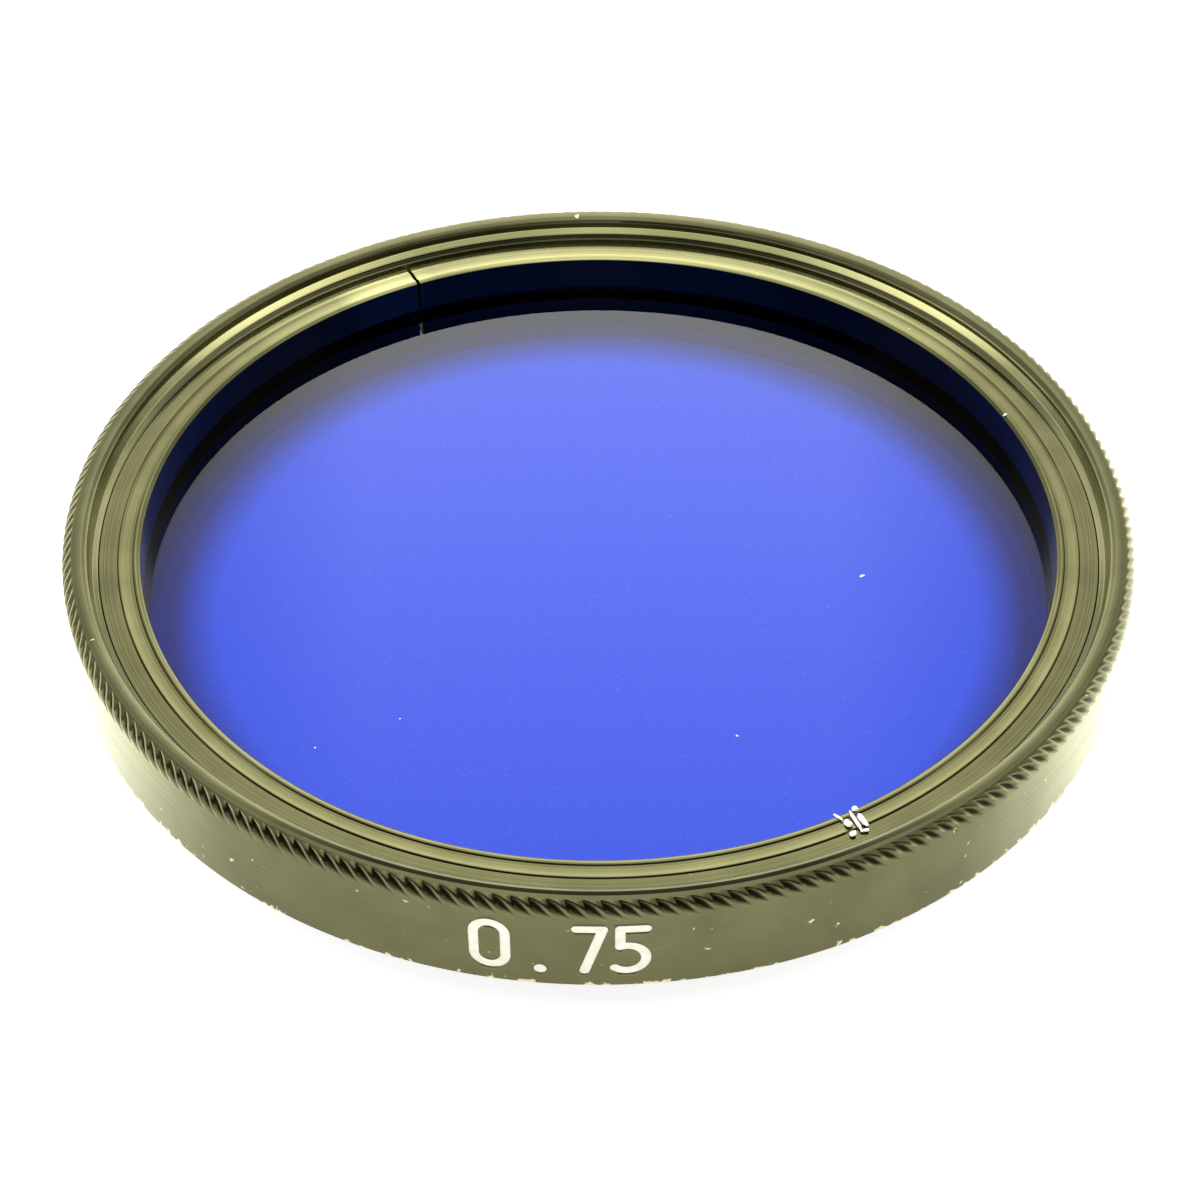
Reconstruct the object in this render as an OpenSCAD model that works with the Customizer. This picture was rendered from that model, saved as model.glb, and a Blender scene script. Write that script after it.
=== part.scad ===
// Screw-in colour filter: a turned ring with a rear male thread holds a flat disc of blue
// glass, which a split spring ring keeps on its seat. The ring lies on its thread, with its
// knurled front edge up. The axis of the glass is Z, and Z = 0 is the rear end of the thread.

/* [Rear thread] */
// Outside diameter of the male thread, the filter's nominal size
thread_d = 49; // [40:0.5:60]
// Length of the male thread
thread_h = 2.1; // [1.8:0.1:3]
// Wall between the male thread and the rear opening
neck_wall = 1.3; // [1:0.1:1.8]
// Width of the relief groove between the thread and the shoulder
relief_w = 0.4; // [0.2:0.05:0.6]
// Depth of the relief groove
relief_depth = 0.35; // [0.2:0.05:0.5]
// Chamfer at the rear end of the thread
thread_chamfer = 0.25; // [0.1:0.05:0.4]

/* [Mount ring] */
// How far the wall stands out past the male thread
shoulder_w = 1.55; // [1.2:0.05:2.5]
// Height of the wall above the shoulder
rim_h = 5.05; // [4.8:0.05:8]
// Wall between the outside and the front bore
rim_wall = 1.35; // [1.3:0.05:2]
// Radius that rounds the outer front edge
edge_round = 0.55; // [0.4:0.05:0.7]
// Radius that rounds the mouth of the front bore
mouth_round = 0.5; // [0.2:0.05:0.6]
// Small chamfer on the lower edge of the wall
wall_chamfer = 0.08; // [0.05:0.01:0.2]

/* [Glass and its seat] */
// Step in from the front bore to the pocket of the glass and the spring ring
pocket_step = 0.26; // [0.1:0.02:0.5]
// Free room around the glass in its pocket
glass_clear = 0.24; // [0.05:0.01:0.4]
// Thickness of the glass disc
glass_h = 2; // [1.2:0.1:2.2]
// Ground bevel on both edges of the glass
glass_bevel = 0.15; // [0.05:0.05:0.3]
// Height of the seat above the shoulder
seat_rise = 0.15; // [0.1:0.05:0.4]
// Width of the seat under the edge of the glass
seat_w = 1.8; // [1:0.1:2.2]
// Thickness of the lip that carries the seat
lip_h = 1; // [0.6:0.1:1.4]

/* [Spring ring] */
// Width of the spring ring, from its outside to its opening
spring_w = 1.98; // [1.9:0.02:2.2]
// How far the spring ring's beads lie below the front edge of the mount ring
front_drop = 1.05; // [0.9:0.05:1.4]
// Free room around the spring ring in the pocket
spring_clear = 0.04; // [0.02:0.01:0.08]
// How far the spring ring's front lies below the top of the pocket
spring_sink = 0.02; // [0.01:0.01:0.1]
// Width of the split
split_w = 0.2; // [0.1:0.02:0.6]
// Direction of the split, counted from +X towards +Y
split_angle = 116.6; // [0:0.1:360]
// Distance of the outer bead's crest from the spring ring's outside
bead_1 = 0.96; // [0.7:0.02:1.1]
// Distance of the inner bead's crest from the spring ring's outside
bead_2 = 1.68; // [1.6:0.02:1.8]
// Height of the beads above the flat between them
bead_h = 0.06; // [0.03:0.01:0.1]
// Width of a bead's steep outer flank
bead_rise = 0.08; // [0.05:0.01:0.15]
// Width of the outer bead's gentle inner flank
bead_fall = 0.28; // [0.15:0.01:0.4]
// How far the front drops at the opening, below the beads
opening_drop = 0.12; // [0.06:0.01:0.2]

/* [Knurl] */
// Number of slanted notches around the front edge
notch_count = 215; // [120:1:220]
// Depth of a notch at its middle
notch_depth = 0.2; // [0.08:0.02:0.2]
// Slant of a notch away from the ring's axis
notch_slant = 52; // [30:1:55]
// Opening angle of a notch
notch_angle = 84; // [60:2:90]
// Tilt of the knurling wheel's face above level
notch_tilt = 28; // [20:1:50]

/* [Size number] */
// Height of the figures, between the middles of their strokes
figure_h = 2.65; // [1.8:0.05:3]
// Width of an engraved stroke
stroke_w = 0.44; // [0.3:0.02:0.5]
// Depth of the engraving
engrave_depth = 0.15; // [0.08:0.01:0.2]
// How far the paint lies below the wall
paint_sink = 0.02; // [0.01:0.01:0.05]
// Height of the figures' foot above the shoulder
figure_foot = 1.03; // [0.7:0.01:1.2]
// Width of the figure nought
nought_w = 1.35; // [1:0.05:1.6]
// Width of the figures seven and five
figure_w = 1.1; // [0.8:0.05:1.3]
// Direction of the nought, the point, the seven and the five around the ring
figure_angles = [259.9, 264.6, 269.2, 273.2];

/* [Hidden] */
$fn = 192;
// Spare length by which a cutter runs past the face it cuts
over = 0.5;
thread_r = thread_d / 2;
rear_r = thread_r - neck_wall;
rim_r = thread_r + shoulder_w;
bore_r = rim_r - rim_wall;
pocket_r = bore_r - pocket_step;
glass_r = pocket_r - glass_clear;
lip_r = glass_r - seat_w;
spring_r = pocket_r - spring_clear;
spring_in_r = spring_r - spring_w;
total_h = thread_h + rim_h;
seat_z = thread_h + seat_rise;
glass_top = seat_z + glass_h;
spring_top = total_h - front_drop;
spring_flat = spring_top - bead_h;
pocket_top = spring_top + spring_sink;
// Centre of the rounding on the outer front edge
edge_r = rim_r - edge_round;
edge_z = total_h - edge_round;
figure_z = thread_h + figure_foot;
// The five's bowl: its radius, and where its arc starts and ends
bowl_r = figure_h * 0.3;
bowl_from = -130;
bowl_to = 112;
bowl_x = figure_w - bowl_r;
// The stem joins the bowl where its arc ends
stem_x = bowl_x + bowl_r * cos(bowl_to);
stem_foot = bowl_r + bowl_r * sin(bowl_to);
// Foot of the seven's slanting stroke
seven_foot = figure_w * 0.3;

// Section square from (0, 0) with its far upper corner rounded
module rounded_section(w, h, r) {
    square([w - r, h]);
    square([w, h - r]);
    translate([w - r, h - r])
        circle(r);
}

// Outer form of the mount ring: the wall with its rounded front edge, and the thread below
module ring_outside() {
    rotate_extrude()
        difference() {
            union() {
                square([thread_r, total_h - edge_round]);
                translate([0, thread_h])
                    rounded_section(rim_r, rim_h, edge_round);
            }
            // Relief groove under the shoulder
            translate([thread_r - relief_depth, thread_h - relief_w])
                square([relief_depth, relief_w]);
            // Chamfer at the rear end of the thread
            polygon([
                [thread_r - thread_chamfer, 0],
                [thread_r + over, 0],
                [thread_r + over, thread_chamfer],
                [thread_r, thread_chamfer]
            ]);
            // Broken lower edge of the wall
            polygon([
                [rim_r - wall_chamfer, thread_h],
                [rim_r + over, thread_h],
                [rim_r + over, thread_h + wall_chamfer],
                [rim_r, thread_h + wall_chamfer]
            ]);
        }
}

// Rounded mouth of the front bore, as the section that is cut away
module mouth_cut() {
    rotate_extrude()
        difference() {
            translate([0, total_h - mouth_round])
                square([bore_r + mouth_round, mouth_round + over]);
            translate([bore_r + mouth_round, total_h - mouth_round])
                circle(mouth_round);
        }
}

// One slanted notch of the knurl, across the rounded front edge at +X
module knurl_notch() {
    reach = edge_round;
    half_w = (reach + notch_depth) * tan(notch_angle / 2);
    translate([edge_r + edge_round * cos(notch_tilt), 0, edge_z + edge_round * sin(notch_tilt)])
        rotate([0, -notch_tilt, 0])
            rotate([notch_slant, 0, 0])
                linear_extrude(height = edge_round * 4, center = true)
                    polygon([[-notch_depth, 0], [reach, half_w], [reach, -half_w]]);
}

// Straight engraved stroke with round ends
module stroke(from, to) {
    run = to - from;
    translate(from) {
        circle(d = stroke_w, $fn = 32);
        rotate(atan2(run.y, run.x))
            translate([0, -stroke_w / 2])
                square([norm(run), stroke_w]);
    }
    translate(to)
        circle(d = stroke_w, $fn = 32);
}

// Curved engraved stroke with round ends, about a centre
module arc_stroke(centre, r, a, b) {
    middle = [for (i = [0:4]) a + (b - a) * i / 4];
    translate(centre) {
        intersection() {
            difference() {
                circle(r + stroke_w / 2, $fn = 64);
                circle(r - stroke_w / 2, $fn = 64);
            }
            polygon(concat([[0, 0]], [for (t = middle) 3 * r * [cos(t), sin(t)]]));
        }
        for (t = [a, b])
            translate(r * [cos(t), sin(t)])
                circle(d = stroke_w, $fn = 32);
    }
}

module nought() {
    r = nought_w / 2;
    stroke([0, r], [0, figure_h - r]);
    stroke([nought_w, r], [nought_w, figure_h - r]);
    arc_stroke([r, r], r, 180, 360);
    arc_stroke([r, figure_h - r], r, 0, 180);
}

module point() {
    circle(d = stroke_w * 1.25, $fn = 32);
}

module seven() {
    stroke([0, figure_h], [figure_w, figure_h]);
    stroke([figure_w, figure_h], [seven_foot, 0]);
}

module five() {
    stroke([stem_x, figure_h], [figure_w, figure_h]);
    stroke([stem_x, figure_h], [stem_x, stem_foot]);
    arc_stroke([bowl_x, bowl_r], bowl_r, bowl_from, bowl_to);
}

// A figure set upright on the wall, reaching in to the floor of the engraving and out past it
module on_wall(angle, width) {
    rotate([0, 0, angle])
        translate([rim_r - over, 0, figure_z])
            rotate([90, 0, 90])
                linear_extrude(height = over * 2)
                    translate([-width / 2, 0])
                        children();
}

// One of the four figures as a block through the wall's surface
module figure(i) {
    if (i == 0)
        on_wall(figure_angles[i], nought_w)
            nought();
    if (i == 1)
        on_wall(figure_angles[i], 0)
            point();
    if (i == 2)
        on_wall(figure_angles[i], figure_w)
            seven();
    if (i == 3)
        on_wall(figure_angles[i], figure_w)
            five();
}

// Turned ring: wall, shoulder, male thread, bore and the lip under the glass
module mount_ring() {
    color([0.46, 0.45, 0.33])
        difference() {
            ring_outside();
            mouth_cut();
            translate([0, 0, pocket_top])
                cylinder(r = bore_r, h = total_h);
            translate([0, 0, seat_z])
                cylinder(r = pocket_r, h = total_h);
            translate([0, 0, -over])
                cylinder(r = lip_r, h = total_h);
            translate([0, 0, -over])
                cylinder(r = rear_r, h = seat_z - lip_h + over);
            for (i = [0:notch_count - 1])
                rotate([0, 0, i * 360 / notch_count])
                    knurl_notch();
            difference() {
                for (i = [0:3])
                    figure(i);
                cylinder(r = rim_r - engrave_depth, h = total_h);
            }
        }
}

// Flat disc of coloured glass with a ground bevel on both edges
module filter_glass() {
    color([0.25, 0.36, 0.9, 0.6])
        translate([0, 0, seat_z])
            rotate_extrude()
                polygon([
                    [0, 0],
                    [glass_r - glass_bevel, 0],
                    [glass_r, glass_bevel],
                    [glass_r, glass_h - glass_bevel],
                    [glass_r - glass_bevel, glass_h],
                    [0, glass_h]
                ]);
}

// Split ring that springs out against the pocket and holds the glass down
module spring_ring() {
    crest_1 = spring_r - bead_1;
    crest_2 = spring_r - bead_2;
    color([0.5, 0.49, 0.36])
        difference() {
            rotate_extrude()
                polygon([
                    [spring_in_r, glass_top],
                    [spring_r, glass_top],
                    [spring_r, spring_flat],
                    [crest_1 + bead_rise, spring_flat],
                    [crest_1, spring_top],
                    [crest_1 - bead_fall, spring_flat],
                    [crest_2 + bead_rise, spring_flat],
                    [crest_2, spring_top],
                    [spring_in_r, spring_top - opening_drop]
                ]);
            rotate([0, 0, split_angle])
                translate([0, -split_w / 2, 0])
                    cube([rim_r, split_w, total_h]);
        }
}

// White paint that fills the engraved figures almost to the wall's surface
module number_paint() {
    color([0.97, 0.97, 0.93])
        for (i = [0:3])
            intersection() {
                figure(i);
                difference() {
                    cylinder(r = rim_r - paint_sink, h = total_h);
                    cylinder(r = rim_r - engrave_depth, h = total_h);
                }
            }
}

mount_ring();
filter_glass();
spring_ring();
number_paint();
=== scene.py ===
import math

import bmesh
import bpy
import numpy as np
from mathutils import Matrix, Vector, noise


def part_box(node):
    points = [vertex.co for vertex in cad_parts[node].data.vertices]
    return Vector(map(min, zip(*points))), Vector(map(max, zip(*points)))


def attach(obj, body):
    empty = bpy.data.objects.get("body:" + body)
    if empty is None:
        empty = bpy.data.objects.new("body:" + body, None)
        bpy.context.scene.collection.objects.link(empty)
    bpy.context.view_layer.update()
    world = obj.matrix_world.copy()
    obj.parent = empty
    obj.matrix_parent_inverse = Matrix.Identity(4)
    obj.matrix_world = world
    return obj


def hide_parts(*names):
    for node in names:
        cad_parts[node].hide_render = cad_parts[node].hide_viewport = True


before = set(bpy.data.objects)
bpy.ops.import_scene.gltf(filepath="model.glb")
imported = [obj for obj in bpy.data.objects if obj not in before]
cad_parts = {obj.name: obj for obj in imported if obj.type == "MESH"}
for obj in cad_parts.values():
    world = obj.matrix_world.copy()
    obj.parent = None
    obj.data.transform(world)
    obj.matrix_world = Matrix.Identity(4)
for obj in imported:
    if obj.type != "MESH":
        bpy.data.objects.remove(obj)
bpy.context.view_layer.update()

# Mount ring
# The body of the filter, which holds its other pieces: one ring of aluminium, turned on a lathe, knurled on its
# outer front edge for the fingers, and anodised black. Its neck carries a male thread and its mouth a female one.

MM = 0.001
# Radii and heights in millimetres, with the heights counted from the rear end of the neck
RIM_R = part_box("mount_ring")[1][0] / MM
RIM_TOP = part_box("mount_ring")[1][2] / MM
WALL_CHAMFER = 0.08
EDGE_ROUND = 0.55
EDGE_R = RIM_R - EDGE_ROUND
EDGE_Z = RIM_TOP - EDGE_ROUND
NECK_R = 24.5
NECK_CHAMFER = 0.25
SHOULDER_Z = 2.1
RELIEF_W = 0.4
RELIEF_DEPTH = 0.35
BORE_R = 24.7
MOUTH_ROUND = 0.5
MOUTH_R = BORE_R + MOUTH_ROUND
MOUTH_Z = RIM_TOP - MOUTH_ROUND
# The mouth's thread is one wide turn: a recess behind the rounded mouth, which ends on a ledge in the bore
ROOT_R = 24.99
ROOT_TOP = 6.90
LEDGE_Z = 6.27
LEDGE_RISE = 0.2
POCKET_R = 24.44
POCKET_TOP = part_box("spring_ring")[1][2] / MM + 0.02
GLASS_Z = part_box("filter_glass")[0][2] / MM
SEAT_DROP = 0.01
LIP_R = 22.4
LIP_H = 1.0
REAR_R = 23.2
SHARP = math.radians(28)


def linear(colour):
    """Turns an sRGB hex colour into the linear RGBA that shaders take."""
    parts = [int(colour[i:i + 2], 16) / 255 for i in (1, 3, 5)]
    return tuple(c / 12.92 if c <= 0.04045 else ((c + 0.055) / 1.055) ** 2.4 for c in parts) + (1.0,)


def feed(node, inputs):
    """Links or sets a node's inputs, found by name or number. A node given as a value feeds its first output."""
    for key, value in inputs.items():
        if isinstance(key, int):
            socket = node.inputs[key]
        else:
            socket = next(s for s in node.inputs if s.enabled and s.name == key)
        if isinstance(value, bpy.types.Node):
            value = next(s for s in value.outputs if s.enabled)
        if isinstance(value, bpy.types.NodeSocket):
            node.id_data.links.new(value, socket)
        else:
            socket.default_value = value


def add(tree, kind, inputs=None, **settings):
    """Adds a node with its settings and feeds its inputs."""
    node = tree.nodes.new(kind)
    for name, value in settings.items():
        setattr(node, name, value)
    feed(node, inputs or {})
    return node


def surface(name):
    """A new material, with its tree and its shader."""
    material = bpy.data.materials.new(name)
    material.use_nodes = True
    return material, material.node_tree, material.node_tree.nodes["Principled BSDF"]


MATH = "ShaderNodeMath"
VECTOR = "ShaderNodeVectorMath"
RANGE = "ShaderNodeMapRange"
SHEEN = "#fffff0"
WORN = "#dedcae"
# The colour of the painted highlights
HIGHLIGHT_TINT = "#e2e09c"
# How fine the finish's patterns are, for each millimetre
MARKS_PER_MM = 9.0
PATCHES_PER_MM = 0.35
FLECKS_PER_MM = 2.4
# Where the finish, its painted shade and its painted highlights change, in millimetres: each pair runs from where a
# change starts to where it is full
FOOT_WEAR_Z = (SHOULDER_Z + 0.5, SHOULDER_Z + 0.1)
CROWN_WEAR_R = (EDGE_R - 0.5, RIM_R)
# Painted shade in the knurl's notches
NOTCH_SHADE = (EDGE_ROUND - 0.13, EDGE_ROUND - 0.02)
NOTCH_EDGE_R = EDGE_R + 0.1
# Painted shade in the mouth at the front
MOUTH_SHADE_R, MOUTH_SHADE_HALF_W = MOUTH_R + 0.05, 0.11
MOUTH_SHADE_Y = (-19.0, -23.5)
# Painted highlight on the ledge and the spring ring's face at the back
HIGHLIGHT_Z, HIGHLIGHT_HALF_H = LEDGE_Z + 0.1, 0.12
HIGHLIGHT_Y = (11.5, 21.5)
# Painted shade on the walls of the openings
OPENING_SHADE_R = (LIP_R + 0.03, LIP_R + 0.06)


def anodised(name, colour, rough, marks, highlight_dir=(0, 0, 1)):
    """Aluminium, turned and then anodised black. Bright light shows it as an olive metal under fine turning marks,
    as rough and as deeply marked as given. Painted shade darkens its notches, its mouth at the front and its
    openings, and painted highlights brighten it at the back and in the direction given."""
    material, tree, shader = surface(name)
    place = add(tree, "ShaderNodeTexCoord").outputs["Object"]
    xyz = add(tree, "ShaderNodeSeparateXYZ", {0: place})
    flat = add(tree, "ShaderNodeCombineXYZ", {0: xyz.outputs[0], 1: xyz.outputs[1]})
    radius = add(tree, VECTOR, {0: flat}, operation="LENGTH").outputs["Value"]
    y, z = xyz.outputs[1], xyz.outputs[2]

    # The dye took a little unevenly, in patches of a few millimetres
    patchy = add(tree, "ShaderNodeTexNoise", {"Vector": place, "Scale": PATCHES_PER_MM / MM, "Detail": 3.0})
    tone = add(tree, RANGE, {
        "Value": patchy, "From Min": 0.3, "From Max": 0.7, "To Min": 0.88, "To Max": 1.12})
    dye_and_light = add(tree, VECTOR, {0: linear(colour)[:3], "Scale": tone}, operation="SCALE")

    # Wear: the dye is rubbed through in short dashes, mostly along the wall's foot and a few on the knurl
    flecks = add(tree, "ShaderNodeTexNoise", {"Vector": place, "Scale": FLECKS_PER_MM / MM, "Detail": 4.0})
    foot = add(tree, RANGE, {
        "Value": z, "From Min": FOOT_WEAR_Z[0] * MM, "From Max": FOOT_WEAR_Z[1] * MM, "To Max": 0.17})
    wall = add(tree, MATH, {0: radius, 1: EDGE_R * MM}, operation="GREATER_THAN")
    foot = add(tree, MATH, {0: foot, 1: wall}, operation="MULTIPLY")
    crown = add(tree, RANGE, {
        "Value": radius, "From Min": CROWN_WEAR_R[0] * MM, "From Max": CROWN_WEAR_R[1] * MM, "To Max": 0.05})
    proud = add(tree, MATH, {0: foot, 1: crown}, operation="ADD")
    worn = add(tree, MATH, {0: flecks, 1: proud}, operation="ADD")
    worn = add(tree, RANGE, {"Value": worn, "From Min": 0.76, "From Max": 0.80})
    dye_and_light = add(tree, "ShaderNodeMix", {"Factor": worn, "A": dye_and_light, "B": linear(WORN)[:3]}, data_type="VECTOR")

    # Painted shade: the knurl's notches are darkened nearer to the middle of the rounded edge than its surface
    out = add(tree, MATH, {0: radius, 1: EDGE_R * MM}, operation="SUBTRACT")
    up = add(tree, MATH, {0: z, 1: EDGE_Z * MM}, operation="SUBTRACT")
    past = add(tree, "ShaderNodeCombineXYZ", {
        0: add(tree, MATH, {0: out, 1: 0.0}, operation="MAXIMUM"),
        1: add(tree, MATH, {0: up, 1: 0.0}, operation="MAXIMUM")})
    past = add(tree, VECTOR, {0: past}, operation="LENGTH").outputs["Value"]
    notch_shade = add(tree, RANGE, {
        "Value": past, "From Min": NOTCH_SHADE[0] * MM, "From Max": NOTCH_SHADE[1] * MM, "To Min": 0.08})
    inside = add(tree, MATH, {0: radius, 1: NOTCH_EDGE_R * MM}, operation="LESS_THAN")
    notch_shade = add(tree, MATH, {0: notch_shade, 1: inside}, operation="MAXIMUM")

    # Painted shade: a dark band in the rounded mouth at the front
    mouth_shade = add(tree, MATH, {0: radius, 1: MOUTH_SHADE_R * MM, 2: MOUTH_SHADE_HALF_W * MM}, operation="COMPARE")
    front = add(tree, RANGE, {"Value": y, "From Min": MOUTH_SHADE_Y[0] * MM, "From Max": MOUTH_SHADE_Y[1] * MM, "To Max": 0.88})
    mouth_shade = add(tree, MATH, {0: mouth_shade, 1: front}, operation="MULTIPLY")
    # The painted shade of the notches and of the mouth darken the colour together
    shade_scale = add(tree, MATH, {0: 1.0, 1: mouth_shade}, operation="SUBTRACT")
    shade_scale = add(tree, MATH, {0: notch_shade, 1: shade_scale}, operation="MULTIPLY")
    dye_and_light = add(tree, VECTOR, {0: dye_and_light, "Scale": shade_scale}, operation="SCALE")

    # Painted highlight at the back: the ledge under the thread is brightened, and less so the spring ring's face
    ledge = add(tree, MATH, {0: z, 1: HIGHLIGHT_Z * MM, 2: HIGHLIGHT_HALF_H * MM}, operation="COMPARE")
    face = add(tree, MATH, {0: radius, 1: (POCKET_R + 0.01) * MM}, operation="LESS_THAN")
    highlight = add(tree, MATH, {0: face, 1: 0.42, 2: ledge}, operation="MULTIPLY_ADD")
    bore = add(tree, MATH, {0: radius, 1: (ROOT_R + 0.01) * MM}, operation="LESS_THAN")
    highlight = add(tree, MATH, {0: highlight, 1: bore}, operation="MULTIPLY")
    behind = add(tree, RANGE, {"Value": y, "From Min": HIGHLIGHT_Y[0] * MM, "From Max": HIGHLIGHT_Y[1] * MM})
    highlight = add(tree, MATH, {0: highlight, 1: behind}, operation="MULTIPLY")
    # Painted highlight too: the two ends at the split are brightened
    facing = add(tree, VECTOR, {0: flat}, operation="NORMALIZE")
    facing = add(tree, VECTOR, {0: facing, 1: highlight_dir}, operation="DOT_PRODUCT").outputs["Value"]
    ends = add(tree, RANGE, {"Value": facing, "From Min": 0.985, "From Max": 0.9995, "To Max": 0.75})
    highlight = add(tree, MATH, {0: highlight, 1: ends}, operation="MAXIMUM")
    dye_and_light = add(tree, "ShaderNodeMix", {"Factor": highlight, "A": dye_and_light, "B": linear(HIGHLIGHT_TINT)[:3]}, data_type="VECTOR")

    # Painted shade: the walls of the openings over and under the glass are darkened
    opening_shade = add(tree, RANGE, {
        "Value": radius, "From Min": OPENING_SHADE_R[0] * MM, "From Max": OPENING_SHADE_R[1] * MM, "To Min": 0.1})
    dye_and_light = add(tree, VECTOR, {0: dye_and_light, "Scale": opening_shade}, operation="SCALE")

    # Turning marks: rings about a tenth of a millimetre apart, coarser than the real ones so that they show
    section = add(tree, "ShaderNodeCombineXYZ", {0: radius, 1: z})
    turned = add(tree, "ShaderNodeTexNoise", {
        "Vector": section, "Scale": MARKS_PER_MM / MM, "Detail": 2.0}, noise_dimensions="2D")
    matt = add(tree, RANGE, {
        "Value": turned, "From Min": 0.3, "From Max": 0.7, "To Min": rough * 0.8, "To Max": rough * 1.2})
    bump = add(tree, "ShaderNodeBump", {"Height": turned, "Strength": marks, "Distance": 0.01 * MM})
    feed(shader, {
        "Base Color": dye_and_light, "Metallic": 1.0, "Roughness": matt, "Specular Tint": linear(SHEEN), "Normal": bump})
    return material


ring_metal = anodised("black_anodised_aluminium", "#6b6a4a", 0.24, 0.6)


def arc(r, z, radius, start, stop, steps):
    """Points on a circular arc in the section, in millimetres and degrees."""
    angles = np.radians(np.linspace(start, stop, steps + 1))
    return [(r + radius * math.cos(a), z + radius * math.sin(a)) for a in angles]


def line(a, b, steps):
    """Points from a to b, without b."""
    return [(a[0] + (b[0] - a[0]) * i / steps, a[1] + (b[1] - a[1]) * i / steps) for i in range(steps)]


def lathe(name, section, columns, start=0.0, sweep=360.0):
    """Turns a closed section of (radius, height) about the axis, counter-clockwise in the section."""
    whole = sweep >= 360
    turns = columns if whole else columns + 1
    rows = len(section)
    angles = np.radians(start + sweep * np.arange(turns) / columns)
    r, z = np.array(section).T * MM
    points = np.stack([np.outer(np.cos(angles), r), np.outer(np.sin(angles), r), np.tile(z, (turns, 1))], axis=-1)
    i, j = np.meshgrid(np.arange(columns), np.arange(rows), indexing="ij")
    after, above = (i + 1) % turns, (j + 1) % rows
    faces = np.stack([i * rows + j, after * rows + j, after * rows + above, i * rows + above], axis=-1)
    faces = faces.reshape(-1, 4).tolist()
    if not whole:
        faces.append(list(range(rows)))
        faces.append([columns * rows + k for k in range(rows - 1, -1, -1)])
    mesh = bpy.data.meshes.new(name)
    mesh.from_pydata(points.reshape(-1, 3).tolist(), [], faces)
    mesh.polygons.foreach_set("use_smooth", [True] * len(faces))
    mesh.update()
    piece = bpy.data.objects.new(name, mesh)
    bpy.context.scene.collection.objects.link(piece)
    return piece


def point_attribute(piece, name, values):
    """Stores a number for each point of a mesh, or the numbers of one column of a lathe mesh on every column."""
    data = np.tile(np.array(values, dtype=float), len(piece.data.vertices) // len(values))
    piece.data.attributes.new(name, "FLOAT", "POINT").data.foreach_set("value", data)


def bake(piece):
    """Replaces a piece's mesh by what its modifiers make of it, and removes them."""
    shaped = bpy.data.meshes.new_from_object(piece.evaluated_get(bpy.context.evaluated_depsgraph_get()))
    piece.modifiers.clear()
    piece.data = shaped
    shaped.name = piece.name


TEETH = 215
COLUMNS_PER_TOOTH = 4
NOTCH_TILT = math.radians(28)
NOTCH_DEPTH = 0.2
NOTCH_SLANT = math.radians(52)
NOTCH_HALF_ANGLE = math.radians(42)
# How far the notches run down the wall below the rounded edge
NOTCH_RUN = 0.34
# A column of points stands a quarter of a tooth from the next one, and no notch is narrower than a tenth
COLUMN_W = 1 / COLUMNS_PER_TOOTH
LEAST_W = 0.1

# The section, from the rear opening round the outside to the mouth, the bore and the lip under the glass
relief_z = SHOULDER_Z - RELIEF_W
section = line((REAR_R, 0), (NECK_R - NECK_CHAMFER, 0), 2)
section += line((NECK_R - NECK_CHAMFER, 0), (NECK_R, NECK_CHAMFER), 2)
neck_from = len(section) - 1
section += line((NECK_R, NECK_CHAMFER), (NECK_R, relief_z), 20)
neck_to = len(section)
section += [(NECK_R, relief_z), (NECK_R - RELIEF_DEPTH, relief_z), (NECK_R - RELIEF_DEPTH, SHOULDER_Z)]
section += [(RIM_R - WALL_CHAMFER, SHOULDER_Z), (RIM_R, SHOULDER_Z + WALL_CHAMFER)]
section += line((RIM_R, SHOULDER_Z + 0.6), (RIM_R, EDGE_Z - NOTCH_RUN - 0.06), 12)
knurl_from = len(section)
section += line((RIM_R, EDGE_Z - NOTCH_RUN), (RIM_R, EDGE_Z), 8)
section += arc(EDGE_R, EDGE_Z, EDGE_ROUND, 0, 86, 18)
knurl_to = len(section)
section += line((EDGE_R, RIM_TOP), (MOUTH_R + 0.02, RIM_TOP), 3)
section += arc(MOUTH_R, MOUTH_Z, MOUTH_ROUND, 92, 135, 8)
mouth_from = len(section)
section += line((ROOT_R, ROOT_TOP), (ROOT_R, LEDGE_Z + LEDGE_RISE), 10)
mouth_to = len(section)
section += [(ROOT_R, LEDGE_Z + LEDGE_RISE), (BORE_R, LEDGE_Z), (BORE_R, POCKET_TOP), (POCKET_R, POCKET_TOP)]
section += [(POCKET_R, GLASS_Z - SEAT_DROP), (LIP_R, GLASS_Z - SEAT_DROP)]
section += [(LIP_R, GLASS_Z - LIP_H), (REAR_R, GLASS_Z - LIP_H)]

# For each row of points: how much of a notch's depth it has, how wide the notch is there, as a share of a tooth,
# how far the slant has carried it, and on which side a thread is cut
rows = len(section)
share, width, shift, side = np.zeros(rows), np.full(rows, COLUMN_W), np.zeros(rows), np.zeros(rows)
valley_r = EDGE_ROUND - NOTCH_DEPTH
tooth_w = 2 * math.pi * (EDGE_R + EDGE_ROUND * math.cos(NOTCH_TILT)) / TEETH
for k in range(knurl_from, knurl_to):
    out, up = section[k][0] - EDGE_R, section[k][1] - EDGE_Z
    turn = math.atan2(up, out) - NOTCH_TILT
    depth = max(0.0, math.hypot(out, up) - valley_r / math.cos(turn))
    share[k] = depth / NOTCH_DEPTH
    width[k] = max(LEAST_W, depth * math.tan(NOTCH_HALF_ANGLE) / math.cos(NOTCH_SLANT) / tooth_w)
    shift[k] = valley_r * math.tan(turn) * math.tan(NOTCH_SLANT) / tooth_w
shift[:knurl_from] = shift[knurl_from]
shift[knurl_to:] = shift[knurl_to - 1]
side[neck_from:neck_to] = -1
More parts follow.
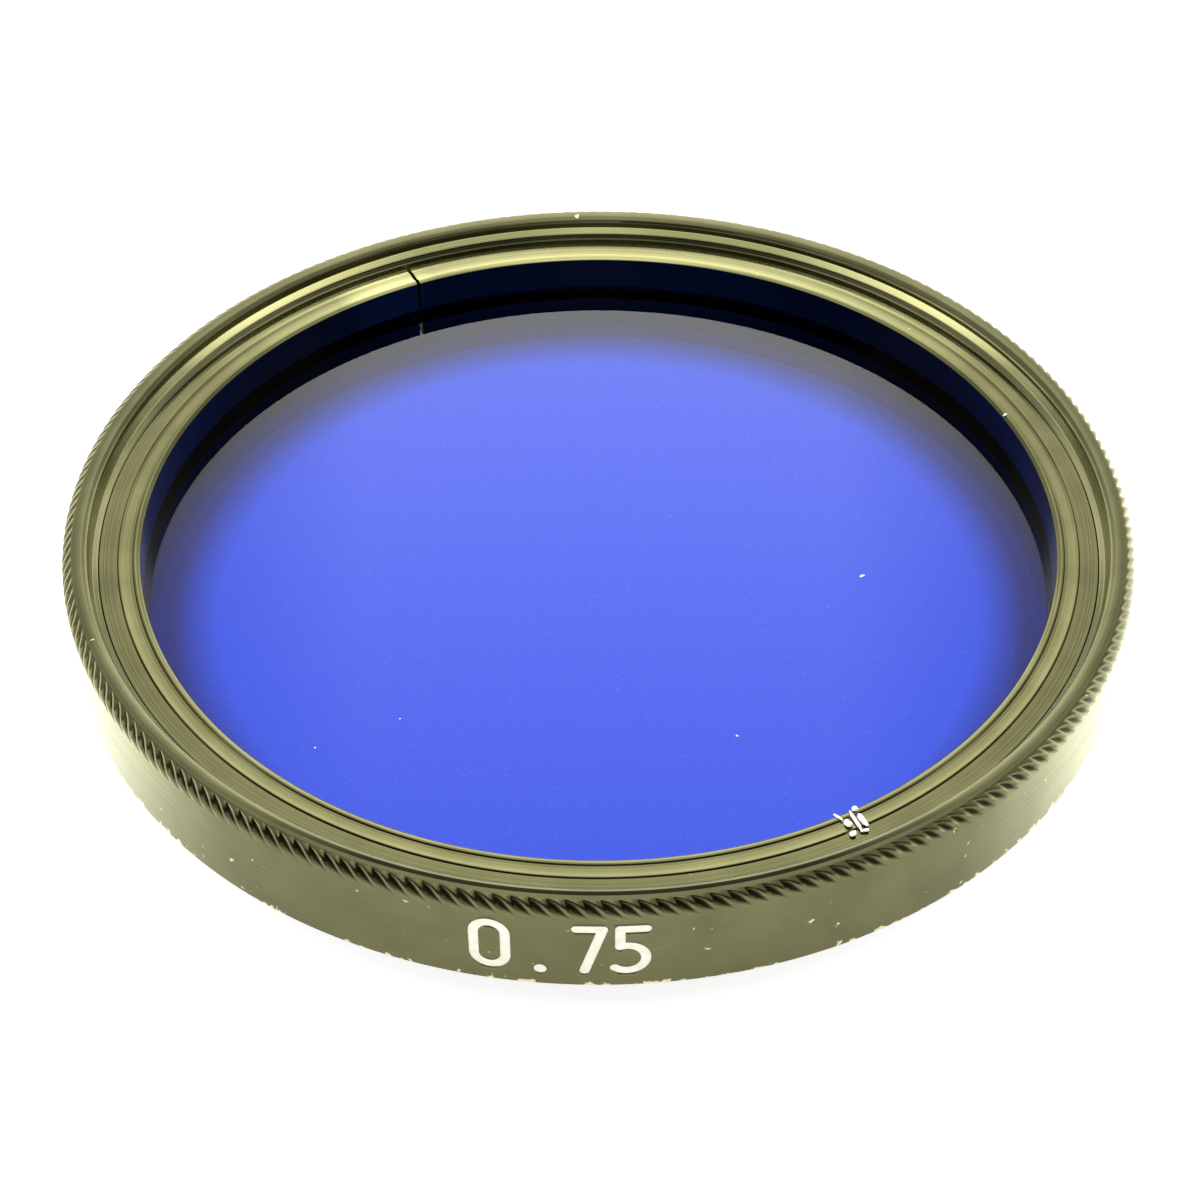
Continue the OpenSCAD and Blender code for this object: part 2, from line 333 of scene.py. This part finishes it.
side[mouth_from:mouth_to] = 1

columns = TEETH * COLUMNS_PER_TOOTH
ring = lathe("mount_ring_turned", section, columns)
for name, values in (
        ("notch_share", share), ("notch_width", width), ("notch_shift", shift), ("thread_side", side),
        ("column", np.repeat(np.arange(columns), rows))):
    point_attribute(ring, name, values)


def group(name, *sizes):
    """A geometry tree with named sizes. Gives the tree and its inputs by name: the sizes and the mesh."""
    tree = bpy.data.node_groups.new(name, "GeometryNodeTree")
    tree.interface.new_socket(name="Geometry", in_out="INPUT", socket_type="NodeSocketGeometry")
    for size in sizes:
        tree.interface.new_socket(name=size, in_out="INPUT", socket_type="NodeSocketFloat")
    tree.interface.new_socket(name="Geometry", in_out="OUTPUT", socket_type="NodeSocketGeometry")
    return tree, {socket.name: socket for socket in add(tree, "NodeGroupInput").outputs}


def end(tree, shaped, material):
    """Ends a geometry tree with its mesh made real, in its material."""
    real = add(tree, "GeometryNodeRealizeInstances", {"Geometry": shaped})
    finished = add(tree, "GeometryNodeSetMaterial", {"Geometry": real, "Material": material})
    add(tree, "NodeGroupOutput", {0: finished})


def use(piece, tree, sizes):
    """Puts a geometry tree on a piece with its sizes, each set by its socket's identifier."""
    modifier = piece.modifiers.new(tree.name, "NODES")
    modifier.node_group = tree
    for item in tree.interface.items_tree:
        if item.in_out == "INPUT" and item.name in sizes:
            modifier[item.identifier] = float(sizes[item.name])


# Knurl: every fourth column of points sinks into a slanted notch, and its neighbours follow the notch's edges
tree, given = group("Slanted knurl", "Teeth", "Depth", "Edge radius", "Edge height")
row = {name: add(tree, "GeometryNodeInputNamedAttribute", {"Name": name}, data_type="FLOAT")
       for name in ("column", "notch_share", "notch_width", "notch_shift")}
place = add(tree, "GeometryNodeInputPosition")
xyz = add(tree, "ShaderNodeSeparateXYZ", {0: place})
flat = add(tree, "ShaderNodeCombineXYZ", {0: xyz.outputs[0], 1: xyz.outputs[1]})
radius = add(tree, VECTOR, {0: flat}, operation="LENGTH").outputs["Value"]
quarter = add(tree, MATH, {0: row["column"], 1: 2 * math.pi / COLUMNS_PER_TOOTH}, operation="MULTIPLY")
# Depth: points sink towards the middle of the rounded edge
out = add(tree, MATH, {0: radius, 1: given["Edge radius"]}, operation="SUBTRACT")
up = add(tree, MATH, {0: xyz.outputs[2], 1: given["Edge height"]}, operation="SUBTRACT")
across = add(tree, VECTOR, {0: add(tree, VECTOR, {0: flat}, operation="NORMALIZE"), "Scale": out}, operation="SCALE")
normal = add(tree, VECTOR, {0: across, 1: add(tree, "ShaderNodeCombineXYZ", {2: up})}, operation="ADD")
normal = add(tree, VECTOR, {0: normal}, operation="NORMALIZE")
valley = add(tree, MATH, {0: add(tree, MATH, {0: quarter}, operation="COSINE"), 1: 0.0}, operation="MAXIMUM")
drop = add(tree, MATH, {0: row["notch_share"], 1: valley}, operation="MULTIPLY")
drop = add(tree, MATH, {0: drop, 1: given["Depth"]}, operation="MULTIPLY")
drop = add(tree, VECTOR, {0: normal, "Scale": drop}, operation="SCALE")
sunk = add(tree, VECTOR, {0: place, 1: drop}, operation="SUBTRACT")
# Width and slant: columns turn about the axis by a share of a tooth
spread = add(tree, MATH, {0: row["notch_width"], 1: COLUMN_W}, operation="SUBTRACT")
spread = add(tree, MATH, {0: spread, 1: add(tree, MATH, {0: quarter}, operation="SINE")}, operation="MULTIPLY")
turn = add(tree, MATH, {0: spread, 1: row["notch_shift"]}, operation="SUBTRACT")
turn = add(tree, MATH, {0: turn, 1: given["Teeth"]}, operation="DIVIDE")
turn = add(tree, MATH, {0: turn, 1: 2 * math.pi}, operation="MULTIPLY")
turned = add(tree, "ShaderNodeVectorRotate", {"Vector": sunk, "Angle": turn}, rotation_type="Z_AXIS")
end(tree, add(tree, "GeometryNodeSetPosition", {"Geometry": given["Geometry"], "Position": turned}), ring_metal)
use(ring, tree, {"Teeth": TEETH, "Depth": NOTCH_DEPTH * MM, "Edge radius": EDGE_R * MM, "Edge height": EDGE_Z * MM})

# Threads: a V-shaped groove winds along the rows that carry a thread, outwards from the mouth's recess (side 1) or
# inwards from the neck (side -1)
PITCH = 0.75
FLANK_ANGLE = math.radians(30)
MOUTH_CUT, MOUTH_CUT_HALF_W, MOUTH_START = 0.06, 0.12, 0.517
NECK_CUT, NECK_CUT_HALF_W, NECK_START = 0.2, 0.3, 0.4

tree, given = group("Screw thread", "Side", "Crest", "Depth", "Pitch", "Half width", "Start")
row_side = add(tree, "GeometryNodeInputNamedAttribute", {"Name": "thread_side"}, data_type="FLOAT")
xyz = add(tree, "ShaderNodeSeparateXYZ", {0: add(tree, "GeometryNodeInputPosition")})
flat = add(tree, "ShaderNodeCombineXYZ", {0: xyz.outputs[0], 1: xyz.outputs[1]})
radius = add(tree, VECTOR, {0: flat}, operation="LENGTH").outputs["Value"]
# How far a point lies from the middle of the groove, along the axis
turns = add(tree, MATH, {0: xyz.outputs[1], 1: xyz.outputs[0]}, operation="ARCTAN2")
turns = add(tree, MATH, {0: turns, 1: 2 * math.pi}, operation="DIVIDE")
along = add(tree, MATH, {0: xyz.outputs[2], 1: given["Pitch"]}, operation="DIVIDE")
along = add(tree, MATH, {0: along, 1: turns}, operation="SUBTRACT")
along = add(tree, MATH, {0: along, 1: given["Start"]}, operation="SUBTRACT")
off = add(tree, MATH, {0: add(tree, MATH, {0: along}, operation="FRACT"), 1: 0.5}, operation="SUBTRACT")
off = add(tree, MATH, {0: off}, operation="ABSOLUTE")
off = add(tree, MATH, {0: off, 1: given["Pitch"]}, operation="MULTIPLY")
# How deep the groove is there, and the radius of its floor
cut = add(tree, MATH, {0: given["Half width"], 1: off}, operation="SUBTRACT")
cut = add(tree, MATH, {0: cut, 1: math.tan(FLANK_ANGLE)}, operation="DIVIDE")
cut = add(tree, MATH, {0: cut, 1: 0.0}, operation="MAXIMUM")
cut = add(tree, MATH, {0: cut, 1: given["Depth"]}, operation="MINIMUM")
floor_r = add(tree, MATH, {0: given["Crest"], 1: given["Side"], 2: cut}, operation="MULTIPLY_ADD")
reach = add(tree, MATH, {0: radius, 1: given["Side"]}, operation="MULTIPLY")
reach = add(tree, MATH, {0: reach, 1: floor_r}, operation="MAXIMUM")
reach = add(tree, MATH, {0: reach, 1: given["Side"]}, operation="MULTIPLY")
sized = add(tree, VECTOR, {0: add(tree, VECTOR, {0: flat}, operation="NORMALIZE"), "Scale": reach}, operation="SCALE")
moved = add(tree, VECTOR, {0: sized, 1: add(tree, "ShaderNodeCombineXYZ", {2: xyz.outputs[2]})}, operation="ADD")
here = add(tree, "FunctionNodeCompare", {"A": row_side, "B": given["Side"], "Epsilon": 0.1},
           data_type="FLOAT", operation="EQUAL")
shaped = add(tree, "GeometryNodeSetPosition", {"Geometry": given["Geometry"], "Selection": here, "Position": moved})
end(tree, shaped, ring_metal)
use(ring, tree, {"Side": 1, "Crest": ROOT_R * MM, "Depth": MOUTH_CUT * MM, "Pitch": PITCH * MM,
                 "Half width": MOUTH_CUT_HALF_W * MM, "Start": MOUTH_START})
use(ring, tree, {"Side": -1, "Crest": NECK_R * MM, "Depth": NECK_CUT * MM, "Pitch": PITCH * MM,
                 "Half width": NECK_CUT_HALF_W * MM, "Start": NECK_START})
bake(ring)

# The engraving: the figures' paint, its face pushed out through the wall, is the tool that cuts their grooves
FACE_DEPTH = 0.08
PUSH = 1.01
WELD_DISTANCE = 1e-7

graver = bpy.data.objects.new("graver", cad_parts["number_paint"].data.copy())
bpy.context.scene.collection.objects.link(graver)
for v in graver.data.vertices:
    if math.hypot(v.co.x, v.co.y) > (RIM_R - FACE_DEPTH) * MM:
        v.co.xy *= PUSH
weld = graver.modifiers.new("weld", "WELD")
weld.merge_threshold = WELD_DISTANCE
bake(graver)
cutter = ring.modifiers.new("engraving", "BOOLEAN")
cutter.object = graver
cutter.operation = "DIFFERENCE"
cutter.solver = "EXACT"
bake(ring)
bpy.data.objects.remove(graver)
ring.data.set_sharp_from_angle(angle=SHARP)
ring.data.materials.clear()
ring.data.materials.append(ring_metal)
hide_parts("mount_ring")
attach(ring, "root")

# Glass
# A flat disc of optical glass, blue right through, cut and polished with a ground bevel. It rests on the lip
# in the mount ring, and the spring ring holds it down.

BLUE = "#2452e6"
DUSTY_BLUE = "#8fa2e8"
SPECKS_PER_MM = 4.0
GLASS_IOR = 1.52

# Optical glass, polished: clear and smooth. A faint film of dust, in specks a quarter of a millimetre wide, greys
# its blue and dulls it a little
blue, tree, shader = surface("blue_optical_glass")
place = add(tree, "ShaderNodeTexCoord").outputs["Object"]
specks = add(tree, "ShaderNodeTexNoise", {"Vector": place, "Scale": SPECKS_PER_MM / MM, "Detail": 3.0})
film = add(tree, RANGE, {"Value": specks, "From Min": 0.62, "From Max": 0.8, "To Max": 0.5})
tint = add(tree, "ShaderNodeMix", {
    "Factor": film, "A": linear(BLUE)[:3], "B": linear(DUSTY_BLUE)[:3]}, data_type="VECTOR")
dull = add(tree, RANGE, {"Value": film, "To Max": 0.12})
feed(shader, {"Base Color": tint, "Roughness": dull, "IOR": GLASS_IOR, "Transmission Weight": 1.0})
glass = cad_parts["filter_glass"]
glass.data.materials.clear()
glass.data.materials.append(blue)

# Spring ring
# A split collar of the same anodised aluminium, turned with two raised beads on its front face. It springs out
# against the pocket in the mount ring and holds the glass on its seat.

GLASS_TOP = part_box("filter_glass")[1][2] / MM
SPRING_LIFT = 0.01
SPRING_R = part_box("spring_ring")[1][0] / MM
SPRING_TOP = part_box("spring_ring")[1][2] / MM
SPRING_W = 1.98
# The beads' crests, counted in from the outside, and the width of the gentle inner flank, if there is one
BEADS = ((0.96, 0.28), (1.68, 0.0))
BEAD_H = 0.06
BEAD_RISE = 0.08
OPENING_DROP = 0.12
SPLIT_AT = 116.6
SPLIT_W = 0.2
# The beads' edges are broken by a few hundredths of a millimetre
BREAK = 0.02

inner_r = SPRING_R - SPRING_W
flat_z = SPRING_TOP - BEAD_H
section = [(inner_r, GLASS_TOP + SPRING_LIFT), (SPRING_R, GLASS_TOP + SPRING_LIFT)]
section += [(SPRING_R, flat_z - BREAK), (SPRING_R - 2 * BREAK, flat_z + BREAK)]
for inset, fall in BEADS:
    crest = SPRING_R - inset
    section += [(crest + BEAD_RISE, flat_z - BREAK / 2), (crest + BREAK, SPRING_TOP - BREAK / 2)]
    section.append((crest - BREAK, SPRING_TOP))
    if fall:
        section += [(crest - fall / 2, flat_z + BEAD_H * 0.4), (crest - fall, flat_z)]
section += [(inner_r + OPENING_DROP, SPRING_TOP - OPENING_DROP * 0.3), (inner_r, SPRING_TOP - OPENING_DROP)]
half_split = math.degrees(SPLIT_W / 2 / (SPRING_R - SPRING_W / 2))
spring = lathe("spring_ring_turned", section, 720, SPLIT_AT + half_split, 360 - 2 * half_split)
spring.data.set_sharp_from_angle(angle=SHARP)
# The direction of the middle of the painted highlight, four degrees past the split
SPLIT_HIGHLIGHT_DIR = (-0.508, 0.861, 0)
spring.data.materials.append(anodised("black_anodised_spring", "#706f4b", 0.15, 0.5, SPLIT_HIGHLIGHT_DIR))
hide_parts("spring_ring")
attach(spring, "root")

# Number
# The thread's pitch, engraved in the wall by a rotating cutter and rubbed full of white paint, which is wiped
# off the wall around it.

THIN_WHITE = "#f3efd2"
WHITE = "#fffff4"
LUMPS_PER_MM = 2.5

# Matt enamel, dried uneven: thin and a little yellow in places, and finely lumpy
white, tree, shader = surface("white_engraving_paint")
place = add(tree, "ShaderNodeTexCoord").outputs["Object"]
lumps = add(tree, "ShaderNodeTexNoise", {"Vector": place, "Scale": LUMPS_PER_MM / MM, "Detail": 3.0})
thick = add(tree, RANGE, {"Value": lumps, "From Min": 0.35, "From Max": 0.7})
tint = add(tree, "ShaderNodeMix", {
    "Factor": thick, "A": linear(THIN_WHITE)[:3], "B": linear(WHITE)[:3]}, data_type="VECTOR")
uneven = add(tree, "ShaderNodeBump", {"Height": lumps, "Strength": 0.4, "Distance": 0.03 * MM})
feed(shader, {"Base Color": tint, "Roughness": 0.6, "Normal": uneven})
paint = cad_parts["number_paint"]
paint.data.materials.clear()
paint.data.materials.append(white)

# Lint and dust
# A torn scrap of white cotton lint sticks across the spring ring, and a few crumbs of dust lie on the glass and
# the rim. They only lie there, fixed by nothing.

GLASS_FACE = GLASS_TOP + 0.01
SPRING_FACE = SPRING_TOP + 0.03
RIM_FACE = RIM_TOP - 0.02
CRUMBS = [
    # x, y, z, length, width in millimetres, and the turn in degrees
    (11.09, -19.60, SPRING_FACE, 0.30, 0.26, 20),
    (11.05, -20.30, SPRING_FACE, 1.10, 0.17, 112),
    (11.36, -20.25, SPRING_FACE, 0.80, 0.27, 118),
    (10.72, -20.45, SPRING_FACE, 0.46, 0.34, 120),
    (10.88, -21.05, SPRING_FACE, 0.32, 0.26, 60),
    (11.42, -20.85, SPRING_FACE, 0.42, 0.16, 15),
    (10.33, -20.10, SPRING_FACE, 0.52, 0.12, 136),
    (12.95, -2.42, GLASS_FACE, 0.26, 0.16, 30),
    (6.33, -13.39, GLASS_FACE, 0.13, 0.09, 0),
    (-12.89, -14.15, GLASS_FACE, 0.10, 0.08, 0),
    (-9.14, -12.30, GLASS_FACE, 0.08, 0.07, 0),
    (-1.24, 25.14, RIM_FACE, 0.34, 0.22, 90),
    (21.10, 8.05, SPRING_FACE, 0.30, 0.12, 40),
    (-23.25, -10.07, RIM_FACE, 0.26, 0.12, 20),
]
# A crumb is a ball, pressed flat and torn uneven. Each one takes its tears from another place in the noise
FLATNESS = 5
TEAR_SIZE = 1.6
TEAR_DEPTH = 0.45
TEAR_STEP = 7.0

dust = bmesh.new()
for number, (x, y, z, length, width, turn) in enumerate(CRUMBS):
    place = Matrix.Translation((x * MM, y * MM, z * MM)) @ Matrix.Rotation(math.radians(turn), 4, "Z")
    place = place @ Matrix.Diagonal((length / 2 * MM, width / 2 * MM, width / FLATNESS * MM, 1.0))
    made = bmesh.ops.create_icosphere(dust, subdivisions=3, radius=1.0)
    for v in made["verts"]:
        tear = noise.noise(v.co * TEAR_SIZE + Vector((number * TEAR_STEP, 0, 0)))
        v.co = place @ (v.co * (1 + TEAR_DEPTH * tear))
mesh = bpy.data.meshes.new("lint")
dust.to_mesh(mesh)
dust.free()
mesh.polygons.foreach_set("use_smooth", [True] * len(mesh.polygons))
lint = bpy.data.objects.new("lint", mesh)
bpy.context.scene.collection.objects.link(lint)
# Cotton lint: white, and as matt as loose fibres are
fluff, tree, shader = surface("white_lint")
feed(shader, {"Base Color": linear("#fbf9ee"), "Roughness": 0.9})
mesh.materials.append(fluff)
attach(lint, "root")

# Floor, light and camera
# The filter lies on white paper in a bright room. Windows stand low all round, dimmer on the camera's side, and
# a bright ceiling arches overhead from the back. High on the camera's side the room is dark.

FLOOR_HALF = 2
mesh = bpy.data.meshes.new("white_floor")
corners = [(x * FLOOR_HALF, y * FLOOR_HALF, 0) for x, y in ((-1, -1), (1, -1), (1, 1), (-1, 1))]
mesh.from_pydata(corners, [], [(0, 1, 2, 3)])
floor = bpy.data.objects.new("white_floor", mesh)
bpy.context.scene.collection.objects.link(floor)

# Paper: matt and without a sheen. Seen straight it is white. In reflections it is dim under the ring and before
# it, where the ring's shadow falls, and bright beside and behind it
PAPER_GREY = (0.8, 0.8, 0.8, 1.0)
PAPER_LEVEL = 0.75
SHADOW_R = (19.2, 21.5)
SHADOW_Y = (-21.0, -12.0)
paper, tree, shader = surface("white_paper")
seen = add(tree, "ShaderNodeLightPath")
spot = add(tree, "ShaderNodeSeparateXYZ", {0: add(tree, "ShaderNodeTexCoord").outputs["Object"]})
flat = add(tree, "ShaderNodeCombineXYZ", {0: spot.outputs[0], 1: spot.outputs[1]})
radius = add(tree, VECTOR, {0: flat}, operation="LENGTH").outputs["Value"]
under = add(tree, RANGE, {
    "Value": radius, "From Min": SHADOW_R[0] * MM, "From Max": SHADOW_R[1] * MM, "To Min": 1.0, "To Max": 0.02})
before = add(tree, RANGE, {
    "Value": spot.outputs[1], "From Min": SHADOW_Y[0] * MM, "From Max": SHADOW_Y[1] * MM,
    "To Min": 0.55, "To Max": 2.4})
outside = add(tree, MATH, {0: radius, 1: EDGE_R * MM}, operation="GREATER_THAN")
mirrored = add(tree, "ShaderNodeMix", {"Factor": outside, "A": under, "B": before}, data_type="FLOAT")
by_mirror = add(tree, MATH, {
    0: seen.outputs["Is Glossy Ray"], 1: seen.outputs["Is Transmission Ray"]}, operation="MAXIMUM")
mirrored = add(tree, MATH, {0: by_mirror, 1: mirrored}, operation="MULTIPLY")
white_level = add(tree, MATH, {0: seen.outputs["Is Camera Ray"], 1: mirrored}, operation="ADD")
white_level = add(tree, MATH, {0: white_level, 1: PAPER_LEVEL}, operation="MULTIPLY")
feed(shader, {
    "Base Color": PAPER_GREY, "Roughness": 1.0, "Specular IOR Level": 0.0,
    "Emission Color": (1.0, 1.0, 1.0, 1.0), "Emission Strength": white_level})
floor.data.materials.append(paper)

# A colour ramp ends at 1, so all of the room's levels are worked out as thirds
THIRDS = 3.0
# The arch's levels, from the back (0) over the top (0.5) to the camera's side (1)
ARCH = [(0.0, 2.8), (0.19, 2.7), (0.275, 1.2), (0.40, 1.7), (0.53, 1.5), (0.59, 1.3),
        (0.65, 0.1), (0.78, 0.06), (0.86, 0.7), (0.93, 0.7), (1.0, 0.6)]
# What falls on paint, lint and paper is stronger than what the metal mirrors, by this much more
DIFFUSE_MORE = 3.3
room = bpy.data.worlds.new("room")
bpy.context.scene.world = room
room.use_nodes = True
tree = room.node_tree
ray = add(tree, "ShaderNodeSeparateXYZ", {0: add(tree, "ShaderNodeTexCoord").outputs["Generated"]})
over = add(tree, MATH, {0: ray.outputs[2], 1: ray.outputs[1]}, operation="ARCTAN2")
arch = add(tree, "ShaderNodeValToRGB", {"Fac": add(tree, MATH, {0: over, 1: math.pi}, operation="DIVIDE")})
ramp = arch.color_ramp
ramp.elements[0].position = ARCH[0][0]
ramp.elements[1].position = ARCH[-1][0]
for position, _ in ARCH[1:-1]:
    ramp.elements.new(position)
for element, (_, level) in zip(ramp.elements, ARCH):
    element.color = (level / THIRDS, level / THIRDS, level / THIRDS, 1.0)
# The arch is narrow: to both sides it dims
aside = add(tree, MATH, {0: ray.outputs[0]}, operation="ABSOLUTE")
aside = add(tree, RANGE, {"Value": aside, "From Min": 0.10, "From Max": 0.20, "To Min": 1.0, "To Max": 0.42})
high = add(tree, MATH, {0: arch, 1: aside}, operation="MULTIPLY")
# The windows stand lower than it
low = add(tree, RANGE, {
    "Value": ray.outputs[1], "From Min": -0.7, "From Max": -0.1, "To Min": 0.25, "To Max": 0.95})
raised = add(tree, RANGE, {"Value": ray.outputs[2], "From Min": 0.25, "From Max": 0.45})
level = add(tree, "ShaderNodeMix", {"Factor": raised, "A": low, "B": high}, data_type="FLOAT")
soft = add(tree, "ShaderNodeLightPath").outputs["Is Diffuse Ray"]
soft = add(tree, MATH, {0: soft, 1: DIFFUSE_MORE, 2: THIRDS}, operation="MULTIPLY_ADD")
level = add(tree, MATH, {0: level, 1: soft}, operation="MULTIPLY")
feed(tree.nodes["Background"], {"Color": (1.0, 1.0, 1.0, 1.0), "Strength": level})

# The photo's camera, fitted to the ellipse that the rim makes: before the ring and above it
CAMERA_AT = (0.067, -88.14, 80.87)
CAMERA_TILT = 47.62
CAMERA_LENS = 70.16
camera = bpy.data.objects.new("camera", bpy.data.cameras.new("camera"))
bpy.context.scene.collection.objects.link(camera)
camera.location = [at * MM for at in CAMERA_AT]
camera.rotation_euler = (math.radians(CAMERA_TILT), 0, 0)
camera.data.lens = CAMERA_LENS
camera.data.sensor_width = 36
camera.data.clip_start = 1 * MM
bpy.context.scene.camera = camera
bpy.context.scene.view_settings.view_transform = "Standard"
